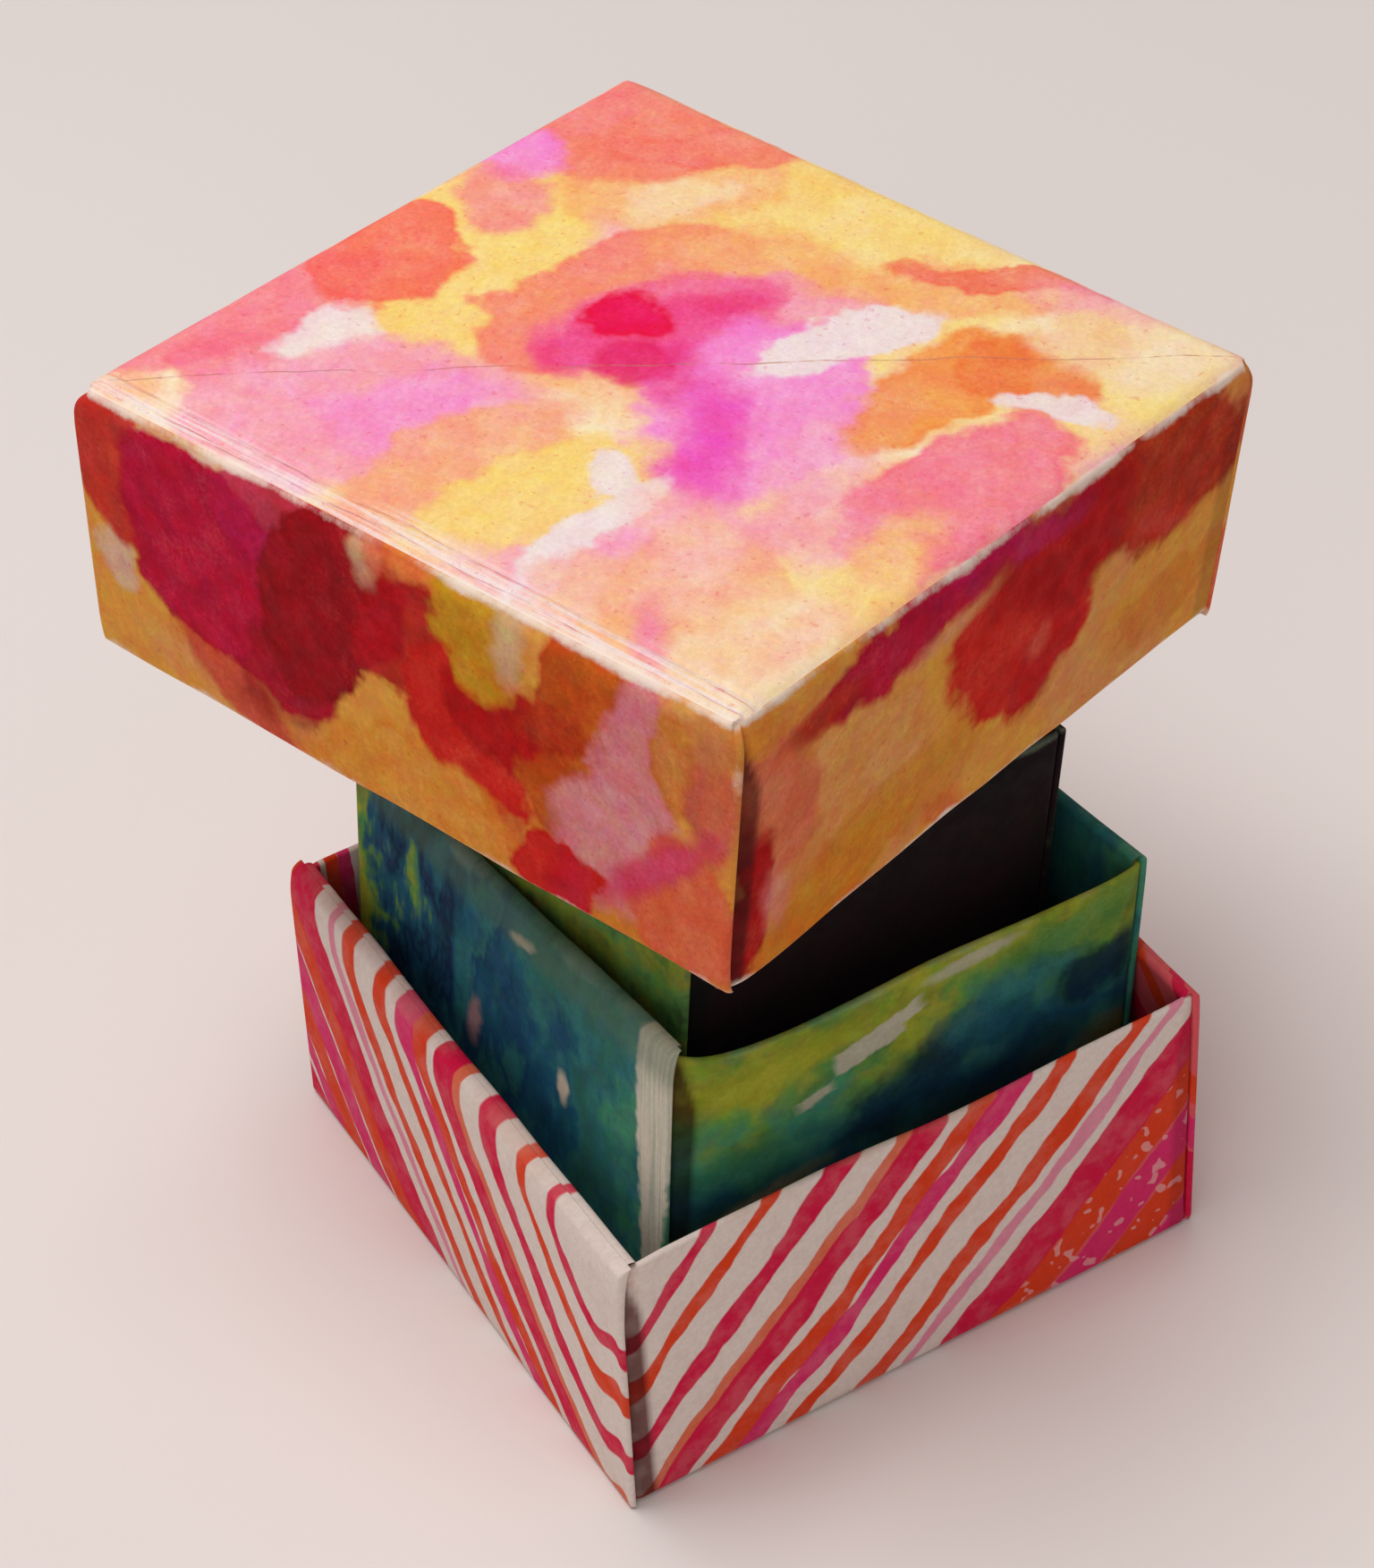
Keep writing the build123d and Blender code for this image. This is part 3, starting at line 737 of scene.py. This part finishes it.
def orange_papers():
    """Pale and warm on the closed face, stronger and redder on the walls, where part of the darkness is
    painted shade.
    """
    top = [(0.3, BLUSH), (0.42, APRICOT), (0.5, CREAM), (0.6, YELLOW), (0.75, PINK)]
    # the walls' ground is stronger paint, and darker than the closed face's partly as painted shade
    wall = [(0.3, TAN), (0.42, OCHRE), (0.58, OCHRE), (0.64, TAN), (0.75, AMBER)]
    return [
        washed_paper("orange_paper_top", top, TOP_WASHES, "top", 0.9, True),
        washed_paper("orange_paper_front_right", wall, FRONT_RIGHT_WASHES, "right", 0.85, False),
        washed_paper("orange_paper_front_left", wall, FRONT_LEFT_WASHES, "left", 0.85, False),
    ]


# Colours of the green paper
LIME = srgb(156, 160, 48)
LEAF = srgb(96, 140, 70)
TEAL = srgb(70, 136, 108)
SEA = srgb(48, 112, 114)
BLUE = srgb(28, 86, 112)
NAVY = srgb(10, 38, 68)
GREY = srgb(220, 206, 188)
OLIVE = srgb(112, 118, 76)
DUST = srgb(196, 190, 172)


def cool_paper(name, washes, stops, value, grey_strip_and_rim_shade):
    """Cool washes from lime to navy that run into one another, with places left bare."""
    p = Paint(name, GREY)
    p.wet()
    p.colour = p.ramp(value(p), stops)
    blotches = p.remap(p.noise(0.16, 4.0, 0.65, 19.0), 0.42, 0.72, 0.0, 0.6)
    p.colour = p.mix(blotches, p.colour, (0.4, 0.55, 0.62, 1), "MULTIPLY")
    p.colour = p.mix(0.4, p.colour, p.noise(0.5, 4.0, 0.7, 49.0, colour=True), "OVERLAY")
    p.colour = p.mix(p.remap(p.pigment, 0.75, 1.0, 0.0, 0.4), p.colour, srgb(150, 190, 160), "SOFT_LIGHT")
    for stroke in washes:
        p.wash(*stroke)
    if grey_strip_and_rim_shade:
        width = p.math("ADD", p.remap(p.s, -54.0, -28.0, 2.0, 0.6), p.noise(0.5, 3.0, 0.6, 21.0))
        fibres = p.remap(p.streaks(12.0, 0.35, 0, 23.0), 0.35, 0.7, 0.95, 0.6)
        on_front = p.remap(p.s, -22.0, -23.0)
        p.band(p.t, -21.2, width, GREY, p.math("MULTIPLY", fibres, on_front), 0.3)
        # painted shade, a greyish green, near and over the rounded rim of the front-left wall
        p.colour = p.mix(p.remap(p.s, -50.0, -52.5, 0.0, 0.5), p.colour, srgb(84, 108, 84))
    return p.finish(0.3, srgb(150, 164, 140), 0.84, 0.16)


def green_papers():
    """Fields across the front-right wall, upright streaks on the front-left one."""
    right = [
        (0.0, LEAF), (0.1, LIME), (0.34, LIME), (0.44, LEAF), (0.54, TEAL), (0.64, SEA), (0.76, BLUE),
        (0.9, SEA), (1.0, OLIVE),
    ]
    left = [
        (0.0, TEAL), (0.1, SEA), (0.2, srgb(48, 104, 96)), (0.3, SEA), (0.4, BLUE),
        (0.5, srgb(24, 70, 104)), (0.58, SEA), (0.68, BLUE), (0.78, NAVY), (0.87, BLUE), (0.93, LEAF),
        (1.0, LIME),
    ]

    def downward(p):
        """0 at the front-right rim to 1 well below it."""
        depth = p.math("MULTIPLY", p.math("ADD", p.t, 54.4), 0.04)
        nearer = p.math("MULTIPLY", p.math("ADD", p.s, 22.5), 0.006)
        loose = p.remap(p.noise(0.1, 3.0, 0.55, 25.0, p.outlines[1]), 0.25, 0.75, -0.12, 0.12)
        return p.math("ADD", p.math("ADD", depth, nearer), loose)

    def sideways(p):
        """0 at the front corner to 1 at the far end of the front-left wall."""
        streaky = p.remap(p.streaks(12.0, 4.5, 4, 27.0), 0.3, 0.7, -0.09, 0.09)
        loose = p.remap(p.noise(0.12, 3.0, 0.55, 25.0, p.outlines[1]), 0.25, 0.75, -0.1, 0.1)
        across = p.math("MULTIPLY", p.math("ADD", p.t, 22.5), 0.0222)
        return p.math("ADD", across, p.math("ADD", streaky, loose))

    patches = [
        ((2, -43.4), (4.4, 2.1), -12, NAVY, 0.9, 1.2), ((7, -44.5), (5, 2), -12, BLUE, 0.7, 1.0),
        ((-4, -40.5), (3, 2.2), -20, NAVY, 0.8, 1.0), ((8, -38.5), (9, 3), -12, NAVY, 0.8, 1.5),
        ((18.5, -46), (4.6, 2.2), -14, NAVY, 0.9, 0.8), ((12, -47.5), (5, 1.8), -10, SEA, 0.7, 1.0),
        ((17, -51.5), (6.5, 2.6), -4, LEAF, 0.8, 1.6), ((-15, -41.5), (6.4, 2.2), -8, TEAL, 0.7, 1.2),
        ((-17, -35), (6, 3), 0, srgb(60, 92, 60), 0.7, 1.5),
        ((-4.4, -48.2), (3.2, 1.2), -13, DUST, 0.95, 0.15, True),
        ((-2.2, -49.4), (2.8, 0.8), -19, DUST, 0.95, 0.15, True),
        ((-9.2, -45), (1.6, 0.5), -16, DUST, 0.85, 0.2, True),
        ((-14, -50), (7, 2.4), -6, srgb(170, 170, 52), 0.7, 1.2),
        ((5, -52.6), (4.4, 0.8), -6, DUST, 0.75, 0.3),
        ((-14, -36.5), (6, 1.0), -14, srgb(160, 156, 130), 0.8, 0.5),
    ]
    specks = [
        ((-42, -9), (1.5, 0.7), 0, GREY, 0.9, 0.3),
        ((-40, 4), (2.2, 0.9), 10, srgb(200, 160, 160), 0.8, 0.5),
        ((-52, -3), (1.6, 0.5), 80, GREY, 0.8, 0.3),
    ]
    floor = cool_paper("green_paper_floor", [], left, sideways, False)
    return [floor, cool_paper("green_paper_front_right", patches, right, downward, False),
            cool_paper("green_paper_front_left", specks, left, sideways, True)]


def dark_papers():
    """Green on the front-left wall, near-black maroon on the rest: dark paint with painted shade from under
    the lid, tinted by a painted reflection of the lid's red.
    """
    def mottled(p):
        return p.noise(0.12, 4.0, 0.6, 29.0)

    # near-black is dark paint with the shade under the lid painted in, and the maroon tint is a painted
    # reflection of the lid
    black = [(0.3, srgb(12, 3, 5)), (0.7, srgb(26, 7, 9))]
    maroon = srgb(24, 8, 10)
    green = [(0.0, maroon), (0.25, maroon), (0.3, srgb(44, 74, 40)), (0.45, LEAF), (0.55, srgb(130, 140, 44)),
             (0.7, srgb(40, 90, 70))]

    def mostly_left(p):
        """Mottled on the front-left wall, and nothing on the one across from it."""
        return p.math("SUBTRACT", mottled(p), p.remap(p.s, 10.0, 14.0, 0.0, 0.6))

    dark = cool_paper("dark_paper", [], black, mottled, False)
    return [dark, dark, cool_paper("dark_paper_front_left", [], green, mostly_left, False)]


# Node, body, paper, shape, side, height, flare, spring of the tips, axes and place of each box
SPECS = [
    ("striped_tray", "nest", "striped_paper", tray_shape,
     TRAY_SIDE, TRAY_HEIGHT, TRAY_FLARE, TRAY_SPRING, UPRIGHT, GROUND),
    ("green_box", "nest", "green_paper", green_shape,
     GREEN_SIDE, GREEN_HEIGHT, 0.0, GREEN_SPRING, GREEN, GREEN_AT),
    ("inner_box", "nest", "dark_paper", inner_shape,
     INNER_SIDE, INNER_HEIGHT, 0.0, LOOSE_SPRING, INNER, INNER_AT),
    ("orange_base", "nest", "orange_paper", base_shape,
     BASE_SIDE, BASE_HEIGHT, 0.0, LOOSE_SPRING, BASE, BASE_AT),
    ("orange_lid", "lid", "orange_paper", lid_shape,
     LID_SIDE, LID_HEIGHT, LID_FLARE, 0.0, LID, LID_AT),
]
# Reach of the wear from the closed face's edges, then start and widening of the painted shade in the slits
PLAIN_WEAR_AND_SLIT_SHADE = (0.7, 0.0, 1.2)
WEAR_AND_SLIT_SHADE = {"orange_paper": (0.9, 1.8, 1.9)}
PAPERS = {
    "striped_paper": [striped_paper()],
    "green_paper": green_papers(),
    "dark_paper": dark_papers(),
    "orange_paper": orange_papers(),
}
for node, body, slot, shape, side, height, flare, spring, axes, at in SPECS:
    sheet = Folded(side, height, flare, spring, *WEAR_AND_SLIT_SHADE.get(slot, PLAIN_WEAR_AND_SLIT_SHADE))
    piece = sheet.build(node + "_folded", axes, at, shape, PAPERS[slot], node == "orange_lid")
    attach(piece, body)
    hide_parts(node)


def stage_floor():
    """A plain pale floor that takes the shadow."""
    me = bpy.data.meshes.new("stage_floor")
    w = 3.0
    me.from_pydata([(-w, -w, 0), (w, -w, 0), (w, w, 0), (-w, w, 0)], [], [(0, 1, 2, 3)])
    ob = bpy.data.objects.new("stage_floor", me)
    bpy.context.scene.collection.objects.link(ob)
    ob.location.z = -0.0002
    mat = bpy.data.materials.new("stage_floor")
    mat.use_nodes = True
    mat.node_tree.nodes["Principled BSDF"].inputs["Base Color"].default_value = srgb(236, 226, 222)
    mat.node_tree.nodes["Principled BSDF"].inputs["Roughness"].default_value = 0.9
    me.materials.append(mat)


def studio():
    """Soft light from above and a little to the left, and a pale surround."""
    world = bpy.data.worlds.new("studio")
    world.use_nodes = True
    tree = world.node_tree
    tree.nodes.clear()
    out = tree.nodes.new("ShaderNodeOutputWorld")
    lit = tree.nodes.new("ShaderNodeBackground")
    lit.inputs["Color"].default_value = (1.0, 0.98, 0.96, 1)
    lit.inputs["Strength"].default_value = 0.28
    seen = tree.nodes.new("ShaderNodeBackground")
    seen.inputs["Color"].default_value = srgb(240, 234, 232)
    seen.inputs["Strength"].default_value = 1.0
    path = tree.nodes.new("ShaderNodeLightPath")
    either = tree.nodes.new("ShaderNodeMath")
    either.operation = "MAXIMUM"
    tree.links.new(path.outputs["Is Camera Ray"], either.inputs[0])
    tree.links.new(path.outputs["Is Glossy Ray"], either.inputs[1])
    mix = tree.nodes.new("ShaderNodeMixShader")
    tree.links.new(either.outputs[0], mix.inputs[0])
    tree.links.new(lit.outputs[0], mix.inputs[1])
    tree.links.new(seen.outputs[0], mix.inputs[2])
    tree.links.new(mix.outputs[0], out.inputs[0])
    bpy.context.scene.world = world
    lamps = [("key", (-0.1, 0.12, 0.7), 0.4, 3.2), ("front", (-0.4, -0.5, 0.35), 0.4, 0.7)]
    for name, at, size, power in lamps:
        light = bpy.data.lights.new(name, "AREA")
        light.shape = "SQUARE"
        light.size = size
        light.energy = power
        ob = bpy.data.objects.new(name, light)
        ob.location = at
        ob.rotation_euler = (Vector((0, 0, 0.04)) - Vector(at)).to_track_quat("-Z", "Y").to_euler()
        bpy.context.scene.collection.objects.link(ob)


def camera():
    """A long lens at the photograph's viewing angle."""
    cam = bpy.data.cameras.new("camera")
    cam.sensor_fit = "HORIZONTAL"
    cam.sensor_width = 36.0
    cam.lens = 96.6435
    cam.clip_start = 0.01
    cam.clip_end = 20.0
    ob = bpy.data.objects.new("camera", cam)
    ob.location = (-0.107328, -0.185123, 0.227538)
    ob.rotation_euler = Euler((math.radians(48.9349), math.radians(2.3461), math.radians(-31.3363)), "XYZ")
    bpy.context.scene.collection.objects.link(ob)
    bpy.context.scene.camera = ob


stage_floor()
studio()
camera()
bpy.context.scene.view_settings.view_transform = "Standard"
